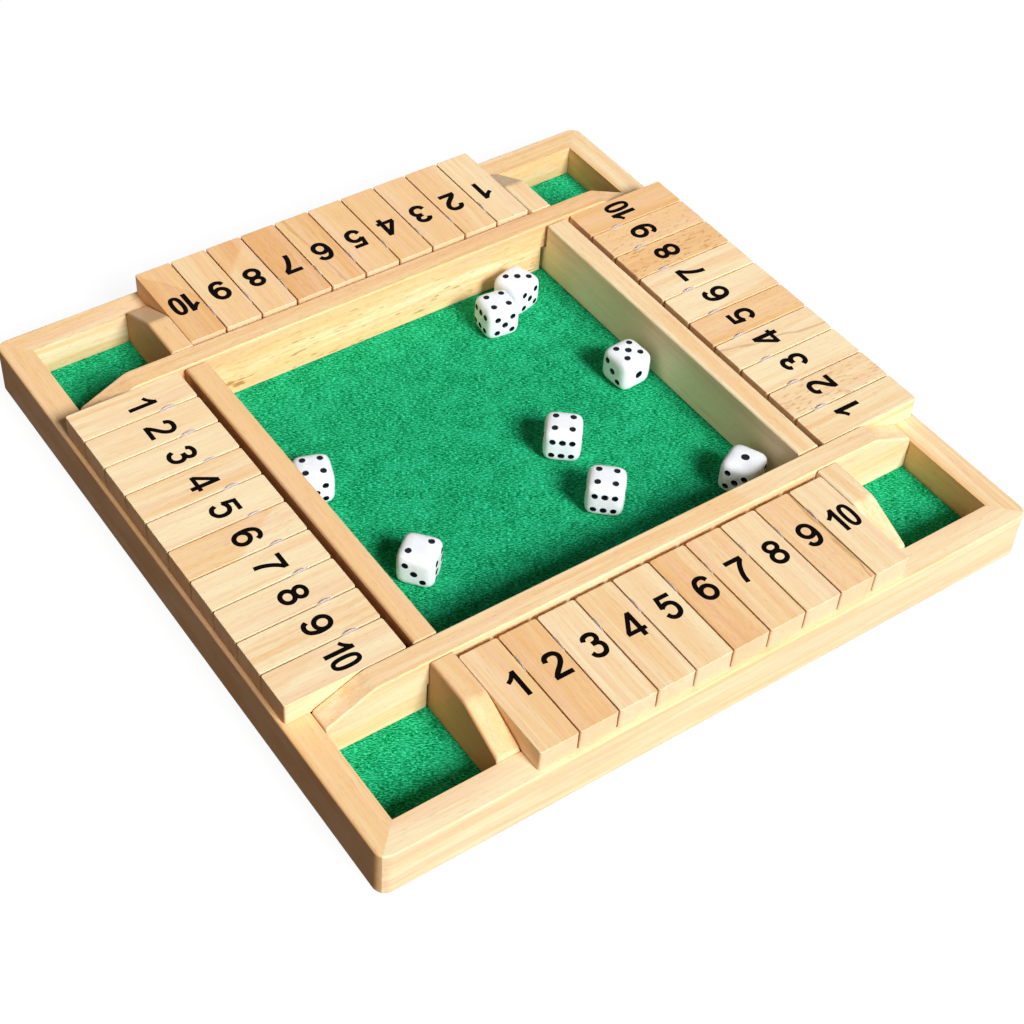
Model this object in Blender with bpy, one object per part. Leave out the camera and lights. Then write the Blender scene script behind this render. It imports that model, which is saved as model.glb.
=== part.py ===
# Shut the box game for four players: a square tray of mitred rails, a felted base, four cross-lapped
# boards that part the playing square from the tile rows, forty tiles on hinge rods, and dice.
# Metres, +Z up. The origin is under the middle of the tray, on the table. The front row faces -Y.

import math

import bmesh
import bpy
from mathutils import Matrix, Vector

# Tray frame
FRAME_SIDE = 0.3200  # outside to outside, both ways
RAIL_WIDTH = 0.0130
RAIL_HEIGHT = 0.0230
RAIL_CORNER_RADIUS = 0.0055  # outer upright edges, shared by the two rails of a corner
RAIL_EASING = 0.0009
FIT_GAP = 0.0003  # between faces that touch on the real tray
CUT_OVERRUN = 0.0010  # how far a cutter reaches past the face that it opens

# Base panel, held in grooves of the rails, with felt glued on
PANEL_THICKNESS = 0.0040
PANEL_RECESS = 0.0030  # underside of the panel above the table
TONGUE_DEPTH = 0.0050  # how far the panel reaches into the rails
FELT_THICKNESS = 0.0008

# Boards round the playing square
ROW_DEPTH = 0.0691  # from the outside of the tray to the boards' inner faces
BOARD_THICKNESS = 0.0107
BOARD_RISE = 0.0116  # top of the boards above the top of the rails
BOARD_EASING = 0.0006
LAP_HEIGHT_SHARE = 0.50  # where the two halves of a cross-lap meet, up the board
LOWER_SLOT_INNER_PLAY = 0.0018  # slots open below, in the front and back boards
LOWER_SLOT_OUTER_PLAY = 0.0006
UPPER_SLOT_BACK_PLAY = 0.0016  # slots open above, in the left and right boards
UPPER_SLOT_FRONT_PLAY = 0.0006
UPPER_SLOT_OUTER_PLAY = 0.0004

# Sloped ends of the boards, from the rail inwards: a nose, a straight ramp and a shoulder
NOSE_RADIUS = 0.0020
NOSE_START_ANGLE = math.radians(70.0)
RAMP_ANGLE = math.radians(24.0)
SHOULDER_RADIUS = 0.0080
SHOULDER_SETBACK = 0.0372  # where the level top starts, from the outside of the tray
END_ARC_STEPS = 4

# Tiles
TILES_IN_ROW = 10
TILE_THICKNESS = 0.0107
TILE_GAP = 0.0006  # between tiles
ROW_END_GAP = 0.0003  # between a row's end tiles and the boards beside them
TILE_SETBACK = 0.0020  # outer ends of the tiles, from the outside of the tray
TILE_SWING_GAP = 0.0029  # inner ends of the tiles to the board behind them
TILE_EASING = 0.0006

# Hinge rods with their washers
ROD_DIAMETER = 0.0030
ROD_SETIN = 0.0144  # rod's axis from the inner ends of the tiles
ROD_SEAT_SHARE = 0.55  # how much of a board's thickness the rod's end goes into
WASHER_DIAMETER = 0.0130
WASHER_SHARE = 0.60  # washer's thickness as a share of the gap that it fills
ROUND_SIDES = 12

# Dice
DIE_SIZE = 0.0168
DIE_EDGE_RADIUS = 0.0032
DIE_EDGE_STEPS = 3
PIP_DIAMETER = 0.0028
ACE_PIP_DIAMETER = 0.0035
PIP_DEPTH = 0.0007
PIP_SPACING = 0.0039  # from the middle of a face to its outer pips
SIX_ROW_SPACING = 0.0044  # the same along a six's rows of three
PIP_SIDES = 8
DIE_REACH_SHARE = 0.65  # room that a turned die needs from its middle, as a share of its size

# Each die: name, place as shares of the free half width, place beside that in die sizes,
# turn in degrees, number on top, number on the side that faces the front before the turn.
DICE_SHARES = (
    ("die_1", (-0.839, -0.535), (0.0, 0.0), -49.3, 2, 3),
    ("die_2", (0.314, -0.190), (0.0, 0.0), -39.5, 4, 6),
    ("die_3", (0.266, -0.639), (0.0, 0.0), -41.8, 4, 6),
    ("die_4", (0.965, 0.094), (0.0, 0.0), 3.7, 5, 1),
    ("die_5", (0.586, 0.832), (0.0, 0.0), -7.0, 4, 5),
    ("die_6", (0.586, 0.832), (1.048, 0.555), 14.2, 3, 5),
    ("die_7", (0.976, -0.913), (0.0, 0.0), -64.1, 1, 5),
)

# The six faces of a die: outward direction, across and up
DIE_FACES = {
    1: (Vector((0, 0, 1)), Vector((1, 0, 0)), Vector((0, 1, 0))),
    2: (Vector((1, 0, 0)), Vector((0, 1, 0)), Vector((0, 0, 1))),
    3: (Vector((0, -1, 0)), Vector((1, 0, 0)), Vector((0, 0, 1))),
    4: (Vector((0, 1, 0)), Vector((1, 0, 0)), Vector((0, 0, 1))),
    5: (Vector((-1, 0, 0)), Vector((0, 1, 0)), Vector((0, 0, 1))),
    6: (Vector((0, 0, -1)), Vector((1, 0, 0)), Vector((0, 1, 0))),
}

# Heights and distances that follow from the sizes above
HALF_FRAME = FRAME_SIDE / 2
HALF_PLAY = HALF_FRAME - ROW_DEPTH
PANEL_TOP = PANEL_RECESS + PANEL_THICKNESS
FELT_TOP = PANEL_TOP + FELT_THICKNESS
BOARD_BOTTOM = FELT_TOP + FIT_GAP
BOARD_TOP = RAIL_HEIGHT + BOARD_RISE
BOARD_HALF_LENGTH = HALF_FRAME - RAIL_WIDTH - FIT_GAP
LAP_HEIGHT = BOARD_BOTTOM + LAP_HEIGHT_SHARE * (BOARD_TOP - BOARD_BOTTOM)
BOARD_OUTER_FACE = HALF_PLAY + BOARD_THICKNESS
TILE_BOTTOM = RAIL_HEIGHT + FIT_GAP
ROW_LENGTH = 2 * HALF_PLAY - 2 * ROW_END_GAP
TILE_PITCH = (ROW_LENGTH + TILE_GAP) / TILES_IN_ROW
TILE_WIDTH = TILE_PITCH - TILE_GAP
TILE_OUTER_END = HALF_FRAME - TILE_SETBACK
TILE_INNER_END = BOARD_OUTER_FACE + TILE_SWING_GAP
AXIS_DISTANCE = TILE_INNER_END + ROD_SETIN
AXIS_HEIGHT = TILE_BOTTOM + TILE_THICKNESS / 2
BORE_DIAMETER = ROD_DIAMETER + 2 * FIT_GAP
ROD_HALF_LENGTH = HALF_PLAY + ROD_SEAT_SHARE * BOARD_THICKNESS
DIE_MIDDLE_HEIGHT = FELT_TOP + FIT_GAP + DIE_SIZE / 2

ROW_NAMES = ("front", "right", "back", "left")
SMOOTH_ANGLE = math.radians(32.0)


def clear_scene():
    for old in list(bpy.data.objects):
        bpy.data.objects.remove(old)


def make_material(name, color, roughness, metallic=0.0):
    material = bpy.data.materials.new(name)
    material.use_nodes = True
    shader = material.node_tree.nodes["Principled BSDF"]
    shader.inputs["Base Color"].default_value = (*color, 1.0)
    shader.inputs["Roughness"].default_value = roughness
    shader.inputs["Metallic"].default_value = metallic
    return material


def mesh_from(bm, name):
    """Closes a bmesh into a mesh with outward faces, smooth except over its sharp edges."""
    bmesh.ops.recalc_face_normals(bm, faces=bm.faces)
    mesh = bpy.data.meshes.new(name)
    bm.to_mesh(mesh)
    bm.free()
    mesh.shade_smooth()
    mesh.set_sharp_from_angle(angle=SMOOTH_ANGLE)
    return mesh


def add_object(name, mesh, parent=None, location=(0, 0, 0), material=None):
    piece = bpy.data.objects.new(name, mesh)
    bpy.context.scene.collection.objects.link(piece)
    piece.parent = parent
    piece.location = location
    if material is not None:
        piece.active_material = material
    return piece


def add_cutter(name, mesh, parent=None, location=(0, 0, 0)):
    cutter = add_object(name, mesh, parent, location)
    cutter.hide_render = True
    cutter.display_type = "WIRE"
    return cutter


def cut_away(piece, cutter):
    cut = piece.modifiers.new(cutter.name, "BOOLEAN")
    cut.operation = "DIFFERENCE"
    cut.object = cutter
    cut.solver = "EXACT"


def settled_mesh(piece):
    """The mesh of a pattern piece with its modifiers applied, to be shared by every copy."""
    bpy.context.view_layer.update()
    graph = bpy.context.evaluated_depsgraph_get()
    mesh = bpy.data.meshes.new_from_object(piece.evaluated_get(graph))
    mesh.shade_smooth()
    mesh.set_sharp_from_angle(angle=SMOOTH_ANGLE)
    return mesh


def block(size, centre=(0, 0, 0)):
    bm = bmesh.new()
    place = Matrix.Translation(centre) @ Matrix.Diagonal((*size, 1))
    bmesh.ops.create_cube(bm, size=1, matrix=place)
    return bm


def extruded(outline, direction):
    """A prism from an outline of 3D points, drawn out along a direction."""
    bm = bmesh.new()
    face = bm.faces.new([bm.verts.new(point) for point in outline])
    drawn = bmesh.ops.extrude_face_region(bm, geom=[face])
    moved = [item for item in drawn["geom"] if isinstance(item, bmesh.types.BMVert)]
    bmesh.ops.translate(bm, verts=moved, vec=direction)
    return bm


def ease_edges(bm, edges, width, steps=1):
    bmesh.ops.bevel(
        bm, geom=list(edges), offset=width, offset_type="OFFSET", segments=steps,
        profile=0.5, affect="EDGES", clamp_overlap=True, material=-1,
    )


def rod_shape(half_length, diameter):
    """A plain round bar along X."""
    bm = bmesh.new()
    turn = Matrix.Rotation(math.radians(90), 4, "Y")
    bmesh.ops.create_cone(
        bm, cap_ends=True, segments=ROUND_SIDES, radius1=diameter / 2, radius2=diameter / 2,
        depth=2 * half_length, matrix=turn,
    )
    return bm


# Rails

def rail_plan():
    """The front rail from above: mitred ends and a half round at each outer corner."""
    mitre_gap = FIT_GAP / math.sqrt(2)
    inner = HALF_FRAME - RAIL_WIDTH
    arc_x = HALF_FRAME - RAIL_CORNER_RADIUS
    mitre_turn = math.asin(mitre_gap / (RAIL_CORNER_RADIUS * math.sqrt(2)))
    sweep = math.radians(45) - mitre_turn
    right_arc = []
    for step in range(END_ARC_STEPS + 1):
        angle = math.radians(-90) + sweep * step / END_ARC_STEPS
        across = arc_x + RAIL_CORNER_RADIUS * math.cos(angle)
        right_arc.append((across, -arc_x + RAIL_CORNER_RADIUS * math.sin(angle)))
    left_arc = [(-x, y) for x, y in reversed(right_arc)]
    return left_arc + right_arc + [(inner - mitre_gap, -inner), (mitre_gap - inner, -inner)]


def rail_mesh():
    bm = extruded([(x, y, 0) for x, y in rail_plan()], (0, 0, RAIL_HEIGHT))
    level = RAIL_HEIGHT - RAIL_EASING
    mitre_reach = 2 * FIT_GAP

    def on_mitre(vert):
        return -vert.co.y - abs(vert.co.x) < mitre_reach

    top_edges = [
        edge for edge in bm.edges
        if all(vert.co.z > level for vert in edge.verts)
        and not all(on_mitre(vert) for vert in edge.verts)
    ]
    ease_edges(bm, top_edges, RAIL_EASING, 2)
    pattern = add_cutter("rail_pattern", mesh_from(bm, "rail_blank"))
    groove_half = BOARD_HALF_LENGTH + TONGUE_DEPTH + 2 * FIT_GAP
    groove_size = (2 * groove_half, 2 * groove_half, PANEL_THICKNESS + 2 * FIT_GAP)
    groove_middle = (0, 0, PANEL_RECESS + PANEL_THICKNESS / 2)
    cut_away(pattern, add_cutter("groove_cutter", mesh_from(block(groove_size, groove_middle), "groove")))
    return settled_mesh(pattern)


def add_rails(rows, material):
    mesh = rail_mesh()
    for name, row in rows.items():
        add_object(f"{name}_rail", mesh, row, material=material)


# Base

def add_base(material):
    """The panel with its tongue all round, and the felt standing on it inside the rails."""
    panel_side = 2 * (HALF_FRAME - RAIL_WIDTH + TONGUE_DEPTH)
    panel_middle = (0, 0, PANEL_RECESS + PANEL_THICKNESS / 2)
    bm = block((panel_side, panel_side, PANEL_THICKNESS), panel_middle)
    top = max(bm.faces, key=lambda face: face.calc_center_median().z)
    bmesh.ops.inset_region(bm, faces=[top], thickness=TONGUE_DEPTH + FIT_GAP, use_even_offset=True)
    raised = bmesh.ops.extrude_face_region(bm, geom=[top])
    felt = [item for item in raised["geom"] if isinstance(item, bmesh.types.BMVert)]
    bmesh.ops.translate(bm, verts=felt, vec=(0, 0, FELT_THICKNESS))
    bmesh.ops.delete(bm, geom=[top], context="FACES_ONLY")
    add_object("felted_base", mesh_from(bm, "felted_base"), material=material)


# Boards

def arc_up(centre, radius, start, end):
    """Points of an arc that climbs inwards, given by the slope at its start and at its end."""
    points = []
    for step in range(END_ARC_STEPS + 1):
        slope = start + (end - start) * step / END_ARC_STEPS
        points.append((centre[0] - radius * math.sin(slope), centre[1] + radius * math.cos(slope)))
    return points


def board_end():
    """The sloped end of a board as (distance from the tray's outside, height), from the rail inwards."""
    end = HALF_FRAME - BOARD_HALF_LENGTH
    shoulder_foot = (
        SHOULDER_SETBACK - SHOULDER_RADIUS * math.sin(RAMP_ANGLE),
        BOARD_TOP - SHOULDER_RADIUS * (1 - math.cos(RAMP_ANGLE)),
    )
    nose_run = NOSE_RADIUS * (math.sin(NOSE_START_ANGLE) - math.sin(RAMP_ANGLE))
    ramp_run = shoulder_foot[0] - end - nose_run
    nose_top = (end + nose_run, shoulder_foot[1] - ramp_run * math.tan(RAMP_ANGLE))
    nose_centre = (
        nose_top[0] + NOSE_RADIUS * math.sin(RAMP_ANGLE),
        nose_top[1] - NOSE_RADIUS * math.cos(RAMP_ANGLE),
    )
    shoulder_centre = (SHOULDER_SETBACK, BOARD_TOP - SHOULDER_RADIUS)
    nose = arc_up(nose_centre, NOSE_RADIUS, NOSE_START_ANGLE, RAMP_ANGLE)
    return nose + arc_up(shoulder_centre, SHOULDER_RADIUS, RAMP_ANGLE, 0)


def slot(sign, level, mouth, inner_play, outer_play):
    """A lap slot's four corners as (along the board, height), from its outer edge to its inner edge."""
    outer = sign * (BOARD_OUTER_FACE + outer_play)
    inner = sign * (HALF_PLAY - inner_play)
    return [(outer, mouth), (outer, level), (inner, level), (inner, mouth)]


def board_outline(opens_up, plays):
    """A board from the front as (along, height): plays holds the inner play of its two slots."""
    end = [(HALF_FRAME - setback, height) for setback, height in board_end()]
    right_end = [(BOARD_HALF_LENGTH, BOARD_BOTTOM)] + end
    left_end = [(-x, z) for x, z in reversed(right_end)]
    left_play, right_play = plays
    if opens_up:
        level = LAP_HEIGHT - FIT_GAP / 2
        right = slot(1, level, BOARD_TOP, right_play, UPPER_SLOT_OUTER_PLAY)
        left = slot(-1, level, BOARD_TOP, left_play, UPPER_SLOT_OUTER_PLAY)
        return right_end + right + left[::-1] + left_end
    level = LAP_HEIGHT + FIT_GAP / 2
    right = slot(1, level, BOARD_BOTTOM, right_play, LOWER_SLOT_OUTER_PLAY)
    left = slot(-1, level, BOARD_BOTTOM, left_play, LOWER_SLOT_OUTER_PLAY)
    return right_end + left_end + left + right[::-1]


def board_mesh(name, opens_up, plays):
    outline = board_outline(opens_up, plays)
    back = BOARD_THICKNESS / 2
    bm = extruded([(x, -back, z) for x, z in outline], (0, BOARD_THICKNESS, 0))
    foot_of_ramp = board_end()[0][1]
    in_slot = HALF_PLAY - max(plays) - FIT_GAP
    out_of_slot = BOARD_OUTER_FACE + UPPER_SLOT_OUTER_PLAY + FIT_GAP

    def eased(edge):
        start, end = (vert.co for vert in edge.verts)
        along = abs(start.y - end.y) < BOARD_EASING
        on_top = min(start.z, end.z) > foot_of_ramp - FIT_GAP
        upright = abs(start.x - end.x) < FIT_GAP
        return along and on_top and not (upright and in_slot < abs(start.x) < out_of_slot)

    ease_edges(bm, [edge for edge in bm.edges if eased(edge)], BOARD_EASING)
    return mesh_from(bm, name)


def add_boards(rows, bore_cutters, material):
    """Front and back boards are slotted from below, left and right ones from above."""
    lower = (LOWER_SLOT_INNER_PLAY, LOWER_SLOT_INNER_PLAY)
    slots = {
        "front": (False, lower),
        "right": (True, (UPPER_SLOT_FRONT_PLAY, UPPER_SLOT_BACK_PLAY)),
        "back": (False, lower),
        "left": (True, (UPPER_SLOT_BACK_PLAY, UPPER_SLOT_FRONT_PLAY)),
    }
    place = (0, -HALF_PLAY - BOARD_THICKNESS / 2, 0)
    for index, (name, row) in enumerate(rows.items()):
        mesh = board_mesh(f"{name}_board", *slots[name])
        board = add_object(f"{name}_board", mesh, row, place, material)
        for side in (1, -1):
            cut_away(board, bore_cutters[(index + side) % len(ROW_NAMES)])


# Rods

def rod_profile():
    """Half of a rod's section along its axis as (along, radius), with a collar for each washer."""
    radius = ROD_DIAMETER / 2
    half_washer = WASHER_SHARE * TILE_GAP / 2
    points = [(-ROD_HALF_LENGTH, 0), (-ROD_HALF_LENGTH, radius)]
    for index in range(1, TILES_IN_ROW):
        middle = index * TILE_PITCH - (ROW_LENGTH + TILE_GAP) / 2
        start, end = middle - half_washer, middle + half_washer
        points += [(start, radius), (start, WASHER_DIAMETER / 2)]
        points += [(end, WASHER_DIAMETER / 2), (end, radius)]
    return points + [(ROD_HALF_LENGTH, radius), (ROD_HALF_LENGTH, 0)]


def rod_mesh():
    bm = bmesh.new()
    verts = [bm.verts.new((along, 0, radius)) for along, radius in rod_profile()]
    edges = [bm.edges.new(pair) for pair in zip(verts, verts[1:])]
    bmesh.ops.spin(
        bm, geom=verts + edges, axis=(1, 0, 0), cent=(0, 0, 0), angle=math.radians(360),
        steps=ROUND_SIDES, use_merge=True,
    )
    bmesh.ops.remove_doubles(bm, verts=bm.verts, dist=FIT_GAP / ROUND_SIDES)
    return mesh_from(bm, "washered_rod")


def add_rods(rows, material):
    mesh = rod_mesh()
    for name, row in rows.items():
        add_object(f"{name}_rod", mesh, row, (0, -AXIS_DISTANCE, AXIS_HEIGHT), material)


def add_bore_cutters(rows):
    """One bar for each row, which opens the two blind holes that its rod's ends sit in."""
    mesh = mesh_from(rod_shape(ROD_HALF_LENGTH + FIT_GAP, BORE_DIAMETER), "bore")
    place = (0, -AXIS_DISTANCE, AXIS_HEIGHT)
    return [add_cutter(f"{name}_bore_cutter", mesh, row, place) for name, row in rows.items()]


# Tiles

def tile_mesh():
    """A tile whose origin is on its hinge axis: eased all round, with the rod's hole across it."""
    length = TILE_OUTER_END - TILE_INNER_END
    middle = ROD_SETIN - length / 2
    bm = block((TILE_WIDTH, length, TILE_THICKNESS), (0, middle, 0))
    ease_edges(bm, bm.edges, TILE_EASING)
    pattern = add_cutter("tile_pattern", mesh_from(bm, "tile_blank"))
    bore = rod_shape(TILE_WIDTH / 2 + CUT_OVERRUN, BORE_DIAMETER)
    cut_away(pattern, add_cutter("tile_bore_cutter", mesh_from(bore, "tile_bore")))
    return settled_mesh(pattern)


def add_tiles(rows, material):
    mesh = tile_mesh()
    first = (TILE_WIDTH - ROW_LENGTH) / 2
    for name, row in rows.items():
        for index in range(TILES_IN_ROW):
            place = (first + index * TILE_PITCH, -AXIS_DISTANCE, AXIS_HEIGHT)
            add_object(f"{name}_tile_{index + 1:02d}", mesh, row, place, material)


# Dice

def pip_places(number):
    """Where a face's pips are, across and up from its middle."""
    near, far = PIP_SPACING, SIX_ROW_SPACING
    middle = [(0, 0)] if number % 2 else []
    falling = [(-near, near), (near, -near)]
    rising = [(-near, -near), (near, near)]
    if number == 6:
        return [(across, up) for across in (-far, 0, far) for up in (-near, near)]
    if number in (4, 5):
        return middle + falling + rising
    return middle + (falling if number == 2 else rising if number == 3 else [])


def pip_cutter_mesh():
    """Cones that point inwards at every pip, as a countersink leaves them."""
    bm = bmesh.new()
    for number, (normal, across, up) in DIE_FACES.items():
        diameter = ACE_PIP_DIAMETER if number == 1 else PIP_DIAMETER
        mouth = diameter / 2 * (PIP_DEPTH + CUT_OVERRUN) / PIP_DEPTH
        turn = normal.to_track_quat("Z", "Y").to_matrix().to_4x4()
        for along, height in pip_places(number):
            out = DIE_SIZE / 2 + (CUT_OVERRUN - PIP_DEPTH) / 2
            place = Matrix.Translation(across * along + up * height + normal * out)
            bmesh.ops.create_cone(
                bm, cap_ends=True, segments=PIP_SIDES, radius1=0, radius2=mouth,
                depth=PIP_DEPTH + CUT_OVERRUN, matrix=place @ turn,
            )
    bmesh.ops.remove_doubles(bm, verts=bm.verts, dist=FIT_GAP / PIP_SIDES)
    return mesh_from(bm, "pips")


def die_mesh():
    bm = block((DIE_SIZE, DIE_SIZE, DIE_SIZE))
    ease_edges(bm, bm.edges, DIE_EDGE_RADIUS, DIE_EDGE_STEPS)
    pattern = add_cutter("die_pattern", mesh_from(bm, "die_blank"))
    cut_away(pattern, add_cutter("pip_cutter", pip_cutter_mesh()))
    return settled_mesh(pattern)


def die_turn(yaw, top, front):
    """The rotation that brings one number to the top and another to the turned front."""
    top_normal, front_normal = DIE_FACES[top][0], DIE_FACES[front][0]
    own = Matrix((front_normal, top_normal.cross(front_normal), top_normal))
    up = Vector((0, 0, 1))
    facing = Vector((math.sin(yaw), -math.cos(yaw), 0))
    shown = Matrix((facing, up.cross(facing), up)).transposed()
    return (shown @ own).to_quaternion()


def add_dice(material):
    mesh = die_mesh()
    free_half = HALF_PLAY - DIE_REACH_SHARE * DIE_SIZE
    for name, shares, beside, yaw, top, front in DICE_SHARES:
        x = shares[0] * free_half + beside[0] * DIE_SIZE
        y = shares[1] * free_half + beside[1] * DIE_SIZE
        die = add_object(name, mesh, None, (x, y, DIE_MIDDLE_HEIGHT), material)
        die.rotation_mode = "QUATERNION"
        die.rotation_quaternion = die_turn(math.radians(yaw), top, front)


def add_rows():
    """An empty for each side of the tray, in whose own frame that side is the front."""
    rows = {}
    for index, name in enumerate(ROW_NAMES):
        row = add_object(f"{name}_row", None)
        row.rotation_euler = (0, 0, index * math.radians(90))
        rows[name] = row
    return rows


def main():
    clear_scene()
    rail_wood = make_material("rail_wood", (0.70, 0.45, 0.22), 0.42)
    board_wood = make_material("board_wood", (0.74, 0.51, 0.27), 0.45)
    tile_wood = make_material("tile_wood", (0.76, 0.52, 0.28), 0.40)
    green_felt = make_material("green_felt", (0.02, 0.30, 0.13), 0.95)
    rod_steel = make_material("rod_steel", (0.72, 0.71, 0.76), 0.35, 0.6)
    die_plastic = make_material("die_plastic", (0.90, 0.92, 0.94), 0.22)
    rows = add_rows()
    add_rails(rows, rail_wood)
    add_base(green_felt)
    add_boards(rows, add_bore_cutters(rows), board_wood)
    add_rods(rows, rod_steel)
    add_tiles(rows, tile_wood)
    add_dice(die_plastic)


main()
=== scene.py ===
# Shut the box game for four players, dressed for its picture: satin rubberwood, green felt,
# steel hinge rods with nylon washers, printed numbers and white dice.
# Metres, +Z up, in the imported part's own frame. The front row faces -Y.

import math
import random

import bmesh
import bpy
from mathutils import Matrix, Vector, noise


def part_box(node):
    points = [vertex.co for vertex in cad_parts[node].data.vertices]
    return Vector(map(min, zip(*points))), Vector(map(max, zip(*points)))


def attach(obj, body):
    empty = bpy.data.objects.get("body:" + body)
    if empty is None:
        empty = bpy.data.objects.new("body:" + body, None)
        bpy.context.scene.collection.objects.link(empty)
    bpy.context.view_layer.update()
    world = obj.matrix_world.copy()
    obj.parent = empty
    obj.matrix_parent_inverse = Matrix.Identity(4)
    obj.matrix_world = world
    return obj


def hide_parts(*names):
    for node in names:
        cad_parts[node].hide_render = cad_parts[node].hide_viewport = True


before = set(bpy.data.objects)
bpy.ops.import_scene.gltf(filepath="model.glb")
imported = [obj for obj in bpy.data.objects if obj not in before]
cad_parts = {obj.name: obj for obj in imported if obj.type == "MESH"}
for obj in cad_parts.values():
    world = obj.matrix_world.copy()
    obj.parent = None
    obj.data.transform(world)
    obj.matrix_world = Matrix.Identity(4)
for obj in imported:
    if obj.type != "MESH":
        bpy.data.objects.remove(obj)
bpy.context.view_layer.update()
print("frame loaded:", len(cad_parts), "nodes")

rowNames = ("front", "right", "back", "left")
tileNumbers = range(1, 11)
millimetre = 0.001


def rowTurn(row):
    return Matrix.Rotation(math.radians(90 * rowNames.index(row)), 4, "Z")


# Shader nodes: a node by its kind, its settings and what its sockets get

def addNode(tree, kind, sockets=None, **settings):
    made = tree.nodes.new("ShaderNode" + kind)
    for name, value in settings.items():
        setattr(made, name, value)
    for name, value in (sockets or {}).items():
        if isinstance(value, bpy.types.NodeSocket):
            tree.links.new(value, made.inputs[name])
        else:
            made.inputs[name].default_value = value
    return made


def calc(tree, operation, first, second=0.0, clamp=False):
    return addNode(tree, "Math", {0: first, 1: second}, operation=operation, use_clamp=clamp).outputs[0]


def times(tree, first, second):
    return calc(tree, "MULTIPLY", first, second)


def plus(tree, first, second, clamp=False):
    return calc(tree, "ADD", first, second, clamp)


def minus(tree, first, second):
    return calc(tree, "SUBTRACT", first, second)


def vectorCalc(tree, operation, first, second=(0, 0, 0), output="Vector"):
    return addNode(tree, "VectorMath", {0: first, 1: second}, operation=operation).outputs[output]


def stretch(tree, vector, scale):
    return vectorCalc(tree, "MULTIPLY", vector, scale)


def attribute(tree, name, output):
    return addNode(tree, "Attribute", attribute_name=name).outputs[output]


def objectSpot(tree):
    return addNode(tree, "TexCoord").outputs["Object"]


def cloud(tree, vector, scale=1.0, detail=2.0, roughness=0.5):
    sockets = {"Vector": vector, "Scale": scale, "Detail": detail, "Roughness": roughness}
    return addNode(tree, "TexNoise", sockets).outputs["Fac"]


def pushed(tree, vector, noiseSpot, scale, detail, amount):
    # The vector, moved about by a slow noise
    push = addNode(tree, "TexNoise", {"Vector": noiseSpot, "Scale": scale, "Detail": detail}).outputs["Color"]
    centred = vectorCalc(tree, "SUBTRACT", push, (0.5, 0.5, 0.5))
    return vectorCalc(tree, "ADD", vector, stretch(tree, centred, amount))


def remap(tree, value, low, high, outLow=0.0, outHigh=1.0):
    sockets = {"Value": value, "From Min": low, "From Max": high, "To Min": outLow, "To Max": outHigh}
    return addNode(tree, "MapRange", sockets, interpolation_type="SMOOTHSTEP").outputs["Result"]


def blend(tree, factor, first, second, mode="MIX"):
    return addNode(tree, "Mix", {0: factor, 6: first, 7: second}, data_type="RGBA", blend_type=mode).outputs[2]


def newMaterial(name):
    material = bpy.data.materials.new(name)
    material.use_nodes = True
    tree = material.node_tree
    return material, tree, tree.nodes["Principled BSDF"]


def setSockets(shader, values):
    for name, value in values.items():
        shader.inputs[name].default_value = value


def tinted(tree, colour, mask, share, tint):
    return blend(tree, times(tree, mask, share), colour, tint)


def addBump(tree, shader, height, strength, distance):
    bump = addNode(tree, "Bump", {"Height": height, "Strength": strength, "Distance": distance})
    tree.links.new(bump.outputs["Normal"], shader.inputs["Normal"])


# Wood. Every wooden piece carries five attributes:
# "grain" is its place in the plank that it was cut from, along, across and up
# "tone" holds its warmth, its streaks and its flecks
# "vein" is the distance to a slanting colour change, how warm the far side is, and how dark the line
# between them is, or how dark the painted shade on the far side is where that number is below zero
# "endGrain" is 1 where the plank was cut across
# "gapShade" is 1 where a tile faces the next one, and there painted shade darkens the side

woodLook = {
    "cream": (0.965, 0.800, 0.530, 1.0),
    "honey": (0.905, 0.590, 0.300, 1.0),
    "amber": (0.790, 0.410, 0.160, 1.0),
    "blush": (0.915, 0.590, 0.390, 1.0),
    "umber": (0.420, 0.190, 0.070, 1.0),
    "fleckTint": (0.560, 0.260, 0.085, 1.0),
    "knotTint": (0.480, 0.190, 0.045, 1.0),
    "endTint": (0.930, 0.665, 0.440, 1.0),
    "endShare": 0.60,
    "gapShadeShare": 0.0,
    "ringSpacing": 0.0062,
    "ringDepth": 0.10,
    "bandDepth": 0.42,
    "streakDepth": 0.40,
    "blushDepth": 0.50,
    "fibreDepth": 0.20,
    "poreDepth": 0.22,
    "fleckDepth": 0.62,
    "dashDepth": 0.0,
    "dashFade": 0.85,
    "knotDepth": 0.85,
    "roughness": 0.46,
    "smoother": 0.06,
    "rougher": 0.07,
    "fibreRoughness": 0.05,
    "specular": 0.15,
    "bumpStrength": 0.16,
    "bumpDistance": 0.00010,
}
# Each layer of the grain: its scale along, across and up, the noise's detail and roughness,
# and where it starts and where it is full
grainLayers = {
    "band": ((5, 105, 105), 2.0, 0.5, 0.34, 0.66),
    "streak": ((13, 430, 430), 3.0, 0.62, 0.34, 0.68),
    "rosy": ((9, 190, 190), 2.0, 0.55, 0.46, 0.70),
    "pore": ((250, 2100, 2100), 1.0, 0.5, 0.63, 0.76),
    "fleck": ((230, 800, 800), 2.0, 0.6, 0.54, 0.68),
    "dash": ((150, 1150, 1150), 1.0, 0.5, 0.66, 0.74),
}
# How the rings bend, how far a vein's line strays, how ragged a knot is, and how fine the rest is
grainWander = {
    "bendScale": (7, 30, 30), "bend": (0, 0.010, 0.010), "veinScale": (60, 200, 200), "vein": 0.005,
    "veinWidth": 0.0009, "veinSoftness": 0.0012, "knotScale": (300, 700, 700), "knotStretch": (0.45, 1, 1),
    "fibreScale": (55, 1900, 1900), "patchScale": (40, 120, 120),
}


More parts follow.
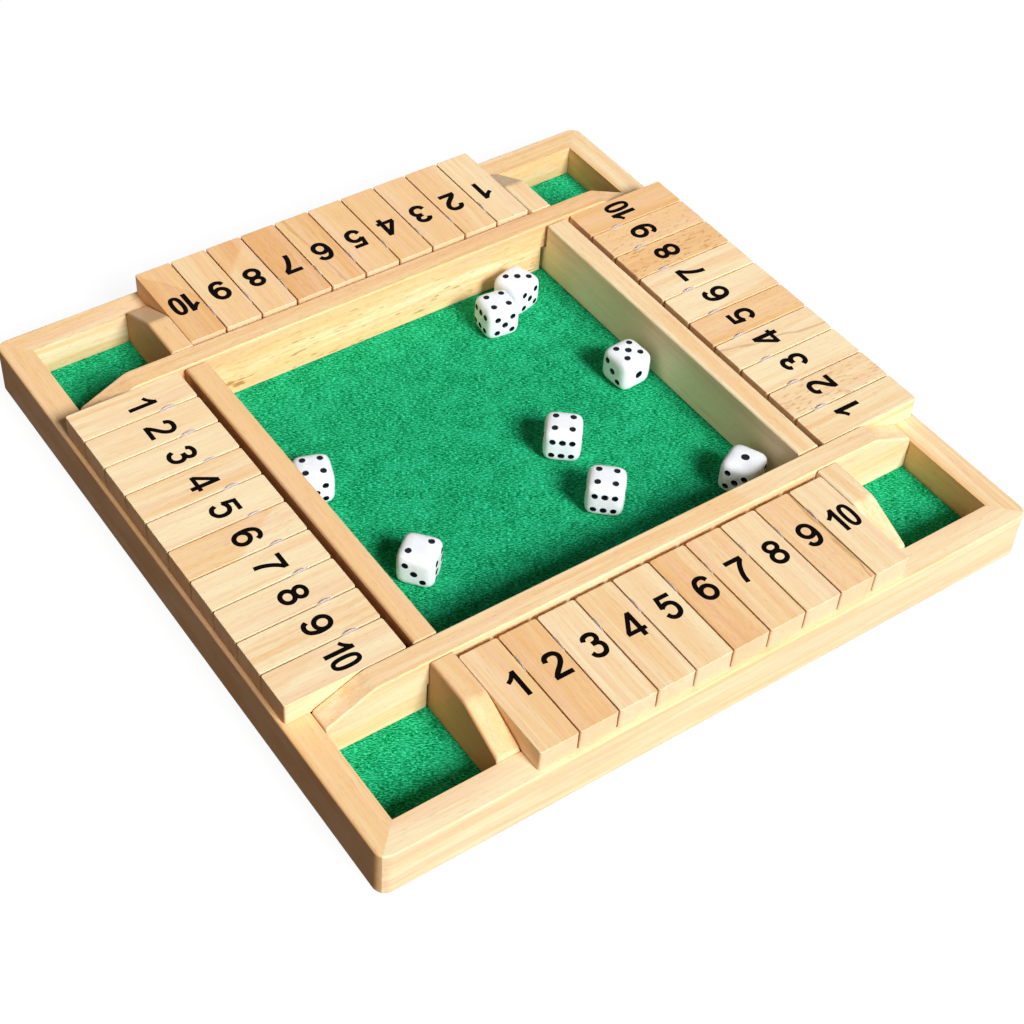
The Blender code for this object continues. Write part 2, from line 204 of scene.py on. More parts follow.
def grainLayer(tree, spot, name):
    scale, detail, roughness, low, high = grainLayers[name]
    return remap(tree, cloud(tree, stretch(tree, spot, scale), 1.0, detail, roughness), low, high)


def addKnot(tree, colour, grain, look, spot, size):
    gap = stretch(tree, vectorCalc(tree, "SUBTRACT", objectSpot(tree), spot), grainWander["knotStretch"])
    away = vectorCalc(tree, "LENGTH", gap, output="Value")
    ragged = times(tree, minus(tree, cloud(tree, stretch(tree, grain, grainWander["knotScale"])), 0.5), size)
    knot = remap(tree, plus(tree, away, ragged), size, size * 0.5)
    return tinted(tree, colour, knot, look["knotDepth"], look["knotTint"])


def woodMaterial(name, changes=None):
    look = {**woodLook, **(changes or {})}
    material, tree, shader = newMaterial(name)
    grain = attribute(tree, "grain", "Vector")
    warmth, streaks, flecks = addNode(tree, "SeparateXYZ", {0: attribute(tree, "tone", "Vector")}).outputs
    reach, farWarmth, lineAndPaintedShade = addNode(tree, "SeparateXYZ", {0: attribute(tree, "vein", "Vector")}).outputs
    endGrain, gapShade = attribute(tree, "endGrain", "Fac"), attribute(tree, "gapShade", "Fac")

    # Growth rings round the plank's heart, bent by a slow noise
    bendSpot = stretch(tree, grain, grainWander["bendScale"])
    place = pushed(tree, grain, bendSpot, 1.0, 2.0, grainWander["bend"])
    radius = vectorCalc(tree, "LENGTH", stretch(tree, place, (0, 1, 1)), output="Value")
    turns = calc(tree, "FRACT", calc(tree, "DIVIDE", radius, look["ringSpacing"]))
    ring = times(tree, remap(tree, turns, 0.0, 0.75), remap(tree, turns, 1.0, 0.88))

    # Broad bands, narrow streaks, fine fibres and the short dark pores between them
    band, streak, rosy = (grainLayer(tree, place, layer) for layer in ("band", "streak", "rosy"))
    pore, fleck, dash = (grainLayer(tree, grain, layer) for layer in ("pore", "fleck", "dash"))
    fibre = cloud(tree, stretch(tree, grain, grainWander["fibreScale"]), 1.0, 2.0, 0.6)

    # Past the slanting line the plank is warmer or paler, and the line strays unless the far side is darkened by
    # painted shade
    stray = minus(tree, cloud(tree, stretch(tree, grain, grainWander["veinScale"])), 0.5)
    loose = plus(tree, times(tree, lineAndPaintedShade, 5.0), 1.0, clamp=True)
    distance = plus(tree, reach, times(tree, times(tree, stray, grainWander["vein"]), loose))
    beyond = remap(tree, distance, grainWander["veinSoftness"], -grainWander["veinSoftness"])
    nearLine = remap(tree, calc(tree, "ABSOLUTE", distance), grainWander["veinWidth"], 0.0)
    line = times(tree, nearLine, lineAndPaintedShade)
    paintedShade = times(tree, beyond, calc(tree, "MULTIPLY", lineAndPaintedShade, -1.0, clamp=True))

    # From cream through honey to amber
    bands = times(tree, minus(tree, band, 0.5), look["bandDepth"])
    lines = times(tree, minus(tree, streak, 0.5), look["streakDepth"])
    drift = times(tree, plus(tree, bands, lines), streaks)
    rings = times(tree, minus(tree, ring, 0.4), look["ringDepth"])
    shift = times(tree, beyond, farWarmth)
    heat = plus(tree, plus(tree, warmth, drift), plus(tree, rings, shift), clamp=True)
    lower = blend(tree, remap(tree, heat, 0.0, 0.6), look["cream"], look["honey"])
    colour = blend(tree, remap(tree, heat, 0.55, 1.25), lower, look["amber"])
    colour = tinted(tree, colour, rosy, look["blushDepth"], look["blush"])
    dark = times(tree, remap(tree, fibre, 0.40, 0.75), look["fibreDepth"])
    colour = blend(tree, dark, colour, look["amber"], "MULTIPLY")

    # Flecks, pores, dashes and knots, then the cut ends, then painted shade on the sides between two tiles
    colour = tinted(tree, colour, fleck, times(tree, flecks, look["fleckDepth"]), look["fleckTint"])
    colour = tinted(tree, colour, pore, look["poreDepth"], look["umber"])
    nearSide = minus(tree, 1.0, times(tree, beyond, look["dashFade"]))
    dashes = times(tree, dash, nearSide)
    colour = tinted(tree, colour, dashes, times(tree, flecks, look["dashDepth"]), look["umber"])
    # A dark line, or painted shade over the far side
    colour = blend(tree, calc(tree, "MAXIMUM", line, paintedShade), colour, look["umber"])
    for spot, size in look.get("knots", ()):
        colour = addKnot(tree, colour, grain, look, spot, size)
    colour = tinted(tree, colour, endGrain, look["endShare"], look["endTint"])
    # Painted shade on a tile's sides that face the next tile
    colour = tinted(tree, colour, gapShade, look["gapShadeShare"], look["umber"])
    tree.links.new(colour, shader.inputs["Base Color"])

    # The varnish is worn in patches
    patch = cloud(tree, stretch(tree, grain, grainWander["patchScale"]))
    smooth, rough = look["roughness"] - look["smoother"], look["roughness"] + look["rougher"]
    worn = remap(tree, patch, 0.3, 0.7, smooth, rough)
    tree.links.new(plus(tree, worn, times(tree, fibre, look["fibreRoughness"])), shader.inputs["Roughness"])
    setSockets(shader, {"Specular IOR Level": look["specular"]})
    height = minus(tree, times(tree, fibre, 0.6), pore)
    addBump(tree, shader, height, look["bumpStrength"], look["bumpDistance"])
    return material


# Felt: short wavy fibres that lie mostly one way, with paler ones on top

feltLook = {
    "shade": (0.0005, 0.135, 0.038, 1.0),
    "body": (0.0030, 0.285, 0.094, 1.0),
    "pale": (0.042, 0.715, 0.360, 1.0),
    "layDegrees": 30.0,
    "crossDegrees": -8.0,
    "curl": 0.0005,
    "curlScale": 240.0,
    "lyingScale": (560, 2350, 900),
    "crossScale": (900, 2200, 900),
    "speckScale": (800, 2100, 900),
    "napScale": (95, 130, 90),
    "crossShare": 0.25,
    "paleFibres": 0.80,
    "palePatches": 0.16,
    "shadePatches": 0.24,
    "paleSpecks": 0.95,
    "bumpStrength": 0.80,
    "bumpDistance": 0.0006,
    "roughness": 0.95,
    "specular": 0.02,
    "sheen": 0.03,
    "sheenRoughness": 0.5,
    "sheenTint": (0.45, 0.90, 0.60, 1.0),
}


def feltMaterial(name):
    material, tree, shader = newMaterial(name)
    spot = objectSpot(tree)
    curled = pushed(tree, spot, spot, feltLook["curlScale"], 1.0, (2 * feltLook["curl"], 2 * feltLook["curl"], 0))
    lay, crossLay = (
        addNode(tree, "Mapping", {"Vector": curled, "Rotation": (0, 0, math.radians(feltLook[key]))}).outputs[0]
        for key in ("layDegrees", "crossDegrees")
    )
    lying = cloud(tree, stretch(tree, lay, feltLook["lyingScale"]), 1.0, 1.0, 0.7)
    crossed = cloud(tree, stretch(tree, crossLay, feltLook["crossScale"]), 1.0, 1.0, 0.6)
    speck = cloud(tree, stretch(tree, lay, feltLook["speckScale"]), detail=0.0)
    nap = cloud(tree, stretch(tree, spot, feltLook["napScale"]), 1.0, 3.0, 0.55)
    share = feltLook["crossShare"]
    mat = plus(tree, times(tree, lying, 1 - share), times(tree, crossed, share))
    colour = blend(tree, remap(tree, mat, 0.39, 0.50), feltLook["shade"], feltLook["body"])
    colour = tinted(tree, colour, remap(tree, mat, 0.50, 0.60), feltLook["paleFibres"], feltLook["pale"])
    colour = tinted(tree, colour, remap(tree, nap, 0.46, 0.66), feltLook["palePatches"], feltLook["pale"])
    colour = tinted(tree, colour, remap(tree, nap, 0.50, 0.34), feltLook["shadePatches"], feltLook["shade"])
    colour = tinted(tree, colour, remap(tree, speck, 0.62, 0.69), feltLook["paleSpecks"], feltLook["pale"])
    tree.links.new(colour, shader.inputs["Base Color"])
    setSockets(shader, {
        "Roughness": feltLook["roughness"], "Specular IOR Level": feltLook["specular"],
        "Sheen Weight": feltLook["sheen"], "Sheen Roughness": feltLook["sheenRoughness"],
        "Sheen Tint": feltLook["sheenTint"],
    })
    addBump(tree, shader, mat, feltLook["bumpStrength"], feltLook["bumpDistance"])
    return material


# Dice, rods, washers and print. A bump is its strength and its distance.

plasticLook = {
    "colour": (0.905, 0.930, 1.0, 1.0), "hazeShare": 0.97, "hazeScale": 90.0, "glow": 0.25, "glowReach": 0.004,
    "roughness": 0.22, "scuffed": 0.09, "scuffScale": 700.0, "bump": (0.04, 0.00005), "refraction": 1.49,
}
steelLook = {
    "dark": (0.52, 0.52, 0.54, 1.0), "bright": (0.72, 0.72, 0.73, 1.0), "grainScale": 1400.0,
    "roughness": 0.26, "worn": 0.14, "bump": (0.05, 0.00003),
}
nylonLook = {
    "clear": (0.680, 0.600, 0.620, 1.0), "milky": (0.780, 0.700, 0.710, 1.0), "passes": 0.40, "roughness": 0.36,
    "worn": 0.12, "grainScale": 420.0, "bump": (0.05, 0.00004), "specular": 0.3, "refraction": 1.35,
}
paintWear = {"paler": 1.9, "rougher": 1.3, "bump": (0.08, 0.00004)}


def plasticMaterial(name):
    material, tree, shader = newMaterial(name)
    spot = objectSpot(tree)
    haze = cloud(tree, spot, plasticLook["hazeScale"], 2.0)
    cool = tuple(plasticLook["hazeShare"] * channel for channel in plasticLook["colour"][:3]) + (1.0,)
    tree.links.new(blend(tree, haze, cool, plasticLook["colour"]), shader.inputs["Base Color"])
    scuff = cloud(tree, spot, plasticLook["scuffScale"], 3.0, 0.6)
    smooth, scuffed = plasticLook["roughness"], plasticLook["roughness"] + plasticLook["scuffed"]
    tree.links.new(remap(tree, scuff, 0.35, 0.75, smooth, scuffed), shader.inputs["Roughness"])
    setSockets(shader, {
        "Subsurface Weight": plasticLook["glow"], "Subsurface Radius": (1.0, 1.0, 1.0),
        "Subsurface Scale": plasticLook["glowReach"], "IOR": plasticLook["refraction"],
    })
    addBump(tree, shader, scuff, *plasticLook["bump"])
    return material


def paintMaterial(name, colour, roughness, specular, grainScale):
    material, tree, shader = newMaterial(name)
    patch = cloud(tree, objectSpot(tree), grainScale, 3.0, 0.6)
    paler = tuple(channel * paintWear["paler"] + 0.002 for channel in colour[:3]) + (1.0,)
    tree.links.new(blend(tree, remap(tree, patch, 0.45, 0.75), colour, paler), shader.inputs["Base Color"])
    rough = roughness * paintWear["rougher"]
    tree.links.new(remap(tree, patch, 0.3, 0.7, roughness, rough), shader.inputs["Roughness"])
    setSockets(shader, {"Specular IOR Level": specular})
    addBump(tree, shader, patch, *paintWear["bump"])
    return material


def steelMaterial(name):
    material, tree, shader = newMaterial(name)
    drawn = cloud(tree, objectSpot(tree), steelLook["grainScale"], 3.0, 0.6)
    tree.links.new(blend(tree, drawn, steelLook["dark"], steelLook["bright"]), shader.inputs["Base Color"])
    smooth, worn = steelLook["roughness"], steelLook["roughness"] + steelLook["worn"]
    tree.links.new(remap(tree, drawn, 0.3, 0.7, smooth, worn), shader.inputs["Roughness"])
    setSockets(shader, {"Metallic": 1.0})
    addBump(tree, shader, drawn, *steelLook["bump"])
    return material


def nylonMaterial(name):
    material, tree, shader = newMaterial(name)
    haze = cloud(tree, objectSpot(tree), nylonLook["grainScale"], 3.0, 0.6)
    tree.links.new(blend(tree, haze, nylonLook["clear"], nylonLook["milky"]), shader.inputs["Base Color"])
    smooth, worn = nylonLook["roughness"], nylonLook["roughness"] + nylonLook["worn"]
    tree.links.new(remap(tree, haze, 0.3, 0.7, smooth, worn), shader.inputs["Roughness"])
    setSockets(shader, {
        "Transmission Weight": nylonLook["passes"], "Specular IOR Level": nylonLook["specular"],
        "IOR": nylonLook["refraction"],
    })
    addBump(tree, shader, haze, *nylonLook["bump"])
    return material


railWood = woodMaterial("railWood", {"specular": 0.02})
boardWood = woodMaterial("boardWood", {
    "specular": 0.20, "roughness": 0.42, "ringDepth": 0.14, "poreDepth": 0.30, "fleckDepth": 0.25, "dashDepth": 1.1,
    "knots": (
        ((-0.0845, 0.0909, 0.0115), 0.0020), ((-0.0800, 0.0909, 0.0150), 0.0014), ((-0.0755, 0.0909, 0.0125), 0.0017),
    ),
})
# Tiles get painted shade on the sides that face the next tile
tileWood = woodMaterial("tileWood", {"gapShadeShare": 0.30})
# The left row's tiles: darker, more orange cut ends and darker sides, painted shade on faces turned from the lamp
shadedLeftTileWood = woodMaterial("shadedLeftTileWood", {
    "endTint": (0.680, 0.330, 0.120, 1.0), "endShare": 0.80, "gapShadeShare": 0.40, "specular": 0.05,
})
panelWood = woodMaterial("panelWood", {"cream": (0.760, 0.580, 0.350, 1.0), "roughness": 0.6, "specular": 0.2})
greenFelt = feltMaterial("greenFelt")
diePlastic = plasticMaterial("diePlastic")
pipPaint = paintMaterial("pipPaint", (0.001, 0.001, 0.008, 1.0), 0.07, 0.22, 900.0)
numberInk = paintMaterial("numberInk", (0.003, 0.0018, 0.0015, 1.0), 0.60, 0.02, 1500.0)
rodSteel = steelMaterial("rodSteel")
washerNylon = nylonMaterial("washerNylon")
print("materials made")


# Pieces. Edges that turn more than the sharp angle stay crisp in the shading.

sharpAngles = {"plain": 35.0, "tile": 50.0, "felt": 60.0, "pattern": 60.0, "die": 32.0}


def finishedMesh(bm, name, sharpAngle=sharpAngles["plain"]):
    mesh = bpy.data.meshes.new(name)
    bm.to_mesh(mesh)
    bm.free()
    mesh.shade_smooth()
    mesh.set_sharp_from_angle(angle=math.radians(sharpAngle))
    return mesh


def addPiece(name, mesh, materials, body, replaced=()):
    piece = bpy.data.objects.new(name, mesh)
    bpy.context.scene.collection.objects.link(piece)
    if not mesh.materials:
        for material in materials:
            mesh.materials.append(material)
    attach(piece, body)
    if replaced:
        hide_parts(*replaced)
    return piece


def weighNormals(piece):
    # Wide faces stay flat to the light, and only the narrow eased edges turn
    weigh = piece.modifiers.new("weighNormals", "WEIGHTED_NORMAL")
    weigh.mode = "FACE_AREA"
    weigh.keep_sharp = True


def settled(piece):
    bpy.context.view_layer.update()
    graph = bpy.context.evaluated_depsgraph_get()
    return bpy.data.meshes.new_from_object(piece.evaluated_get(graph))


def discard(pieces):
    for piece in pieces:
        bpy.data.objects.remove(piece)


def patternPiece(name, mesh):
    pattern = bpy.data.objects.new(name, mesh)
    bpy.context.scene.collection.objects.link(pattern)
    return pattern


def cutWith(pattern, cutter, name):
    # The pattern's mesh with the cutter taken out of it
    cut = pattern.modifiers.new(name, "BOOLEAN")
    cut.operation, cut.solver, cut.object = "DIFFERENCE", "EXACT", cutter
    mesh = settled(pattern)
    discard([pattern, cutter])
    return mesh


easing = {
    "mergeGap": 0.00001, "flatAngle": 0.5, "sharpAngle": 28.0, "width": 0.00022, "steps": 3,
    "mitreReach": 0.0005, "mitreGap": 0.00001,
}


def closeMitres(bm, row):
    # Glued mitres show no gap: the ends move up to the corner's own diagonal, and their rims stay sharp
    turn = rowTurn(row)
    back = turn.inverted()
    glued = set()
    for vert in bm.verts:
        spot = back @ vert.co
        if abs(-spot.y - abs(spot.x)) < easing["mitreReach"]:
            spot.x = math.copysign(-spot.y - easing["mitreGap"], spot.x)
            vert.co = turn @ spot
            glued.add(vert)
    return glued


def easedCopy(node):
    # The CAD mesh is loose triangles: its corners are merged and its flat faces made whole first
    bm = bmesh.new()
    bm.from_mesh(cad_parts[node].data)
    bmesh.ops.remove_doubles(bm, verts=bm.verts, dist=easing["mergeGap"])
    bmesh.ops.dissolve_limit(
        bm, angle_limit=math.radians(easing["flatAngle"]), verts=bm.verts, edges=bm.edges,
        use_dissolve_boundaries=False,
    )
    glued = closeMitres(bm, node.split("_")[0]) if node.endswith("_rail") else set()
    sharp = [
        edge for edge in bm.edges
        if len(edge.link_faces) == 2 and edge.calc_face_angle() > math.radians(easing["sharpAngle"])
        and not glued.issuperset(edge.verts)
    ]
    bmesh.ops.bevel(
        bm, geom=sharp, offset=easing["width"], offset_type="OFFSET", segments=easing["steps"],
        profile=0.5, affect="EDGES", clamp_overlap=True, material=-1,
    )
    return bm


# How far the plank's heart lies from the piece, lengthways and across, and how squarely a face has
# to turn to count as a cut end or as a tile's side
woodMarks = {"lengthways": (-3.0, 3.0), "away": (0.030, 0.090), "endFrom": 0.55, "endOver": 0.35, "sideFrom": 0.9}
seeds = {"rail": 11, "board": 21, "panel": 7, "tile": 100, "washers": 300}


def markWood(mesh, along, seed, tone, vein=None, neighbours=()):
    # vein is (point on the line, direction pointing away from the changed side, warmth, line depth, or below zero
    # the painted shade on the far side), and neighbours are the directions in which another tile stands, where the
    # tile's side gets painted shade
    chance = random.Random(seed)
    heart = Vector((chance.uniform(*woodMarks["lengthways"]), 0, 0))
    angle, away = chance.uniform(0, 2 * math.pi), chance.uniform(*woodMarks["away"])
    heart.y, heart.z = away * math.cos(angle), away * math.sin(angle)
    up = Vector((0, 0, 1))
    across = up.cross(along)
    grain = mesh.attributes.new("grain", "FLOAT_VECTOR", "POINT")
    tones = mesh.attributes.new("tone", "FLOAT_VECTOR", "POINT")
    veins = mesh.attributes.new("vein", "FLOAT_VECTOR", "POINT")
    ends = mesh.attributes.new("endGrain", "FLOAT", "FACE")
    gapShades = mesh.attributes.new("gapShade", "FLOAT", "FACE")
    if vein:
        point, direction, farWarmth, lineAndPaintedShade = vein
        direction = Vector(direction).normalized()
    for index, vert in enumerate(mesh.vertices):
        grain.data[index].vector = Vector((vert.co.dot(along), vert.co.dot(across), vert.co.z)) + heart
        tones.data[index].vector = tone
        if vein:
            veins.data[index].vector = ((vert.co - Vector(point)).dot(direction), farWarmth, lineAndPaintedShade)
        else:
            veins.data[index].vector = (1.0, 0, 0)
    for index, face in enumerate(mesh.polygons):
        cutAcross = (abs(face.normal.dot(along)) - woodMarks["endFrom"]) / woodMarks["endOver"]
        ends.data[index].value = min(1.0, max(0.0, cutAcross))
        gapShades.data[index].value = float(any(face.normal.dot(way) > woodMarks["sideFrom"] for way in neighbours))


def woodPiece(node, name, material, body, along, seed, tone, vein=None):
    mesh = finishedMesh(easedCopy(node), name)
    markWood(mesh, along, seed, tone, vein)
    weighNormals(addPiece(name, mesh, [material], body, [node]))


# Rails and boards. Tone is warmth, streaks and flecks.

railTones = {
    "front": (0.17, 0.55, 0.05),
    "right": (0.30, 0.45, 0.10),
    "back": (0.38, 0.75, 0.25),
    "left": (0.50, 0.30, 0.10),
}
boardTones = {
    "front": (0.20, 0.55, 0.10),
    "right": (0.30, 0.40, 0.08),
    "back": (0.42, 0.85, 0.80),
    "left": (0.52, 0.35, 0.15),
}
# Some planks are warmer on one side, and some faces carry painted light or painted shade: a point on the
# line, the direction away from the changed side, its warmth, and how dark the line is, or how dark the
# painted shade on the far side is where it is below zero
railVeinsAndPaintedShade = {
    "right": ((0.1485, 0, 0.012), (1.0, 0, 0), 0.45, 0.0),
    # The left rail's outer face is warmer and darkened: painted shade
    "left": ((-0.1595, 0, 0.012), (1.0, 0, 0), 0.60, -0.62),
}
boardVeinsAndPaintedLight = {
    "front": ((0.055, -0.096, 0.035), (1.0, 0.35, 0.2), 0.16, 0.0),
    # The right board's inner face is paler: painted light
    "right": ((0.0921, 0, 0.012), (1.0, 0, 0), -0.35, 0.0),
    "back": ((0, 0.0916, 0.02), (0, -1.0, -0.12), 0.28, 0.0),
    # The left board's outer face, in the gap beside the tiles, is darkened: painted shade
    "left": ((-0.1010, 0, 0.012), (1.0, 0, 0), 0.50, -0.85),
}
alongX, alongY = Vector((1, 0, 0)), Vector((0, 1, 0))

for place, row in enumerate(rowNames):
    lengthways = alongX if row in ("front", "back") else alongY
    for kind, material, tones, veins in (
        ("rail", railWood, railTones, railVeinsAndPaintedShade), ("board", boardWood, boardTones, boardVeinsAndPaintedLight),
    ):
        woodPiece(
            f"{row}_{kind}", f"{row}_{kind}_wood", material, "tray", lengthways,
            seeds[kind] + place, tones[row], veins.get(row),
        )
print("rails and boards done")


# Tiles: one pattern for all forty, rounded on every edge and bored for its rod

tileShape = {
    "uprightRadius": 0.00110, "edgeRadius": 0.00034, "edgeSteps": 3, "boreDiameter": 0.0036, "boreSides": 32,
    "rimAngle": 60.0, "axisHeight": 0.02865, "axisDistance": 0.1189,
}
tileTones = {
    "front": (
        (0.46, 0.60, 0.00), (0.76, 0.35, 0.15), (0.36, 0.80, 0.00), (0.34, 0.70, 0.10), (0.26, 0.20, 0.05),
        (0.88, 0.50, 0.25), (0.42, 0.30, 0.10), (0.24, 0.30, 0.08), (0.40, 0.45, 0.30), (0.18, 0.20, 0.00),
    ),
    "right": (
        (0.27, 0.60, 0.10), (0.22, 0.35, 0.85), (0.14, 0.40, 0.00), (0.18, 0.25, 0.10), (0.60, 0.60, 0.30),
        (0.10, 0.30, 0.08), (0.12, 0.60, 0.10), (0.70, 0.35, 1.20), (0.52, 0.40, 0.70), (0.76, 0.30, 0.10),
    ),
    # The back row is set warmer and so darker: partly the tiles' own tone, partly painted shade for light falling off
    # towards the back
    "back": (
        (0.24, 0.35, 0.00), (0.54, 0.70, 0.10), (0.42, 0.55, 0.10), (0.60, 0.60, 0.10), (0.50, 0.45, 0.05),
        (0.56, 0.95, 0.10), (1.10, 0.45, 0.40), (0.45, 0.35, 0.10), (0.40, 0.40, 0.10), (0.96, 0.50, 0.10),
    ),
    "left": (
        (0.14, 0.75, 0.05), (0.17, 0.30, 0.10), (0.14, 0.15, 0.00), (0.37, 0.65, 0.10), (0.06, 0.35, 0.00),
        (0.10, 0.35, 0.20), (0.15, 0.60, 0.05), (0.16, 0.20, 0.10), (0.27, 0.70, 0.20), (0.15, 0.20, 0.10),
    ),
}
# In a tile's own frame, in millimetres: point, direction away from the change, warmth, line depth
tileVeins = {
    "front_tile_06": ((5.0, -20, 5), (-1.0, -0.06, 0.1), -0.45, 0.0),
    "front_tile_09": ((8.0, -12, 5), (-1.0, 0.04, 0.25), 0.10, 0.55),
    "right_tile_04": ((-1.5, -22, 5), (0.95, -0.16, 0.2), 0.02, 0.45),
    "right_tile_06": ((-5.5, -20, 5), (1.0, 0.12, 0.1), 0.34, 0.0),
    "back_tile_06": ((3.0, -10, 5), (1.0, 0.08, 0.3), 0.16, 0.40),
    "back_tile_08": ((1.0, -24, 5), (-0.70, 0.62, 0.1), 0.42, 0.0),
    "back_tile_10": ((-1.0, -24, 5), (0.80, 0.50, 0.1), -0.30, 0.12),
    "left_tile_06": ((1.5, -6, 5), (0.82, 0.52, 0.1), 0.30, 0.0),
    "left_tile_10": ((0, -30, 5), (0.9, 0.4, 0.1), 0.12, 0.0),
}


def tileBox(node):
    low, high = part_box(node)
    return (low + high) / 2, high - low


def tilePattern():
    # Front row's first tile, moved so that its hinge axis is at the origin
    centre, size = tileBox("front_tile_01")
    axis = Vector((centre.x, -tileShape["axisDistance"], tileShape["axisHeight"]))
    bm = bmesh.new()
    bmesh.ops.create_cube(bm, size=1, matrix=Matrix.Translation(centre - axis) @ Matrix.Diagonal((*size, 1)))
    uprights = [edge for edge in bm.edges if abs(edge.verts[0].co.z - edge.verts[1].co.z) > size.z / 2]
    bmesh.ops.bevel(
        bm, geom=uprights, offset=tileShape["uprightRadius"], offset_type="OFFSET",
        segments=2 * tileShape["edgeSteps"], profile=0.5, affect="EDGES", clamp_overlap=True, material=-1,
    )
    rims = [edge for edge in bm.edges if edge.calc_face_angle() > math.radians(tileShape["rimAngle"])]
    bmesh.ops.bevel(
        bm, geom=rims, offset=tileShape["edgeRadius"], offset_type="OFFSET",
        segments=tileShape["edgeSteps"], profile=0.5, affect="EDGES", clamp_overlap=True, material=-1,
    )
    pattern = patternPiece("tilePattern", finishedMesh(bm, "tilePattern", sharpAngles["tile"]))
    bore = bmesh.new()
    bmesh.ops.create_cone(
        bore, cap_ends=True, segments=tileShape["boreSides"], radius1=tileShape["boreDiameter"] / 2,
        radius2=tileShape["boreDiameter"] / 2, depth=2 * size.x, matrix=Matrix.Rotation(math.radians(90), 4, "Y"),
    )
    cutter = patternPiece("borePattern", finishedMesh(bore, "borePattern"))
    mesh = cutWith(pattern, cutter, "bore")
    mesh.set_sharp_from_angle(angle=math.radians(sharpAngles["tile"]))
    return mesh


def tilePlace(row, number):
    # From a tile's own frame to where it lies in its row
    centre = tileBox(f"front_tile_{number:02d}")[0]
    axis = Vector((centre.x, -tileShape["axisDistance"], tileShape["axisHeight"]))
    return rowTurn(row) @ Matrix.Translation(axis)


tileMesh = tilePattern()
for row in rowNames:
    for number in tileNumbers:
        node = f"{row}_tile_{number:02d}"
        place = tilePlace(row, number)
        mesh = tileMesh.copy()
        mesh.name = node + "_wood"
        mesh.transform(place)
        vein = None
        if node in tileVeins:
            point, away, warmth, depth = tileVeins[node]
            vein = (place @ (Vector(point) * millimetre), place.to_3x3() @ Vector(away), warmth, depth)
        along, across = place.to_3x3() @ alongY, place.to_3x3() @ alongX
        neighbours = [-across] * (number > tileNumbers[0]) + [across] * (number < tileNumbers[-1])
        seed = seeds["tile"] + len(tileNumbers) * rowNames.index(row) + number
        markWood(mesh, along, seed, tileTones[row][number - 1], vein, neighbours)
        # The left row's tiles take the copy with painted shade
        wood = shadedLeftTileWood if row == "left" else tileWood
        weighNormals(addPiece(node + "_wood", mesh, [wood], node, [node]))
print("tiles done")


# Printed numbers, in millimetres round each digit's middle: strokes are a width and a centre line,
# rings are a width, a middle, two radii and how square the ring is

digitStrokes = {
    "0": [("ring", 1.9, (0, 0), (2.2, 5.5), 2.5)],
    "1": [
        ("stroke", 2.1, [(1.6, -6.5), (1.6, 6.5)]),
        ("stroke", 1.8, [(1.7, 6.0), (0.6, 4.6), (-0.9, 3.0), (-2.7, 1.9)]),
    ],
    "2": [
        ("stroke", 2.15, [(-3.1, 2.5), (-2.75, 4.1), (-1.6, 5.2), (0.1, 5.5), (1.9, 5.1), (3.0, 3.8), (3.05, 2.3),
                          (2.2, 0.4), (0.6, -1.3), (-1.2, -2.9), (-2.6, -4.4), (-3.1, -5.6)]),
        ("stroke", 2.1, [(-4.15, -5.45), (4.15, -5.45)]),
    ],
    "3": [
        ("stroke", 2.1, [(-2.95, 3.1), (-2.3, 4.7), (-0.1, 5.5), (2.0, 4.8), (2.65, 3.2), (1.8, 1.4), (-0.7, 0.7)]),
        ("stroke", 2.1, [(-0.7, 0.7), (1.6, 0.4), (2.9, -0.9), (3.05, -2.8), (2.0, -4.8), (-0.2, -5.5), (-2.3, -4.7),
                         (-3.15, -2.9)]),
    ],
    "4": [
        ("stroke", 2.1, [(1.95, -6.5), (1.95, 6.5)]),
        ("stroke", 1.9, [(-4.45, -3.1), (4.45, -3.1)]),
        ("stroke", 1.9, [(1.9, 6.2), (-3.75, -2.9)]),
    ],
    "5": [
        ("stroke", 2.0, [(-2.9, 5.5), (3.5, 5.5)]),
        ("stroke", 1.9, [(-2.15, 6.4), (-3.05, 0.1)]),
        ("stroke", 2.1, [(-3.2, 0.5), (-1.4, 1.6), (0.5, 1.85), (2.4, 0.8), (3.1, -1.6), (2.4, -4.2), (0.1, -5.5),
                         (-2.1, -4.8), (-3.1, -2.9)]),
    ],
    "6": [
        ("ring", 2.1, (0.1, -2.2), (3.1, 3.3), 2.0),
        ("stroke", 2.1, [(3.05, 3.3), (2.3, 4.8), (0.3, 5.5), (-1.9, 4.6), (-3.1, 2.0), (-3.25, -0.8), (-3.0, -2.4)]),
    ],
    "7": [
        ("stroke", 2.1, [(-4.15, 5.45), (4.15, 5.45)]),
        ("stroke", 2.1, [(3.5, 5.0), (1.5, 2.6), (-0.1, -0.4), (-1.05, -3.4), (-1.4, -6.5)]),
    ],
    "8": [("ring", 2.05, (0, 3.1), (2.75, 2.4), 2.0), ("ring", 2.1, (0, -2.55), (3.1, 2.9), 2.0)],
}


def halfTurned(stroke):
    kind, width, place, *rest = stroke
    if kind == "ring":
        return (kind, width, (-place[0], -place[1]), *rest)
    return (kind, width, [(-x, -y) for x, y in place])


digitStrokes["9"] = [halfTurned(stroke) for stroke in digitStrokes["6"]]
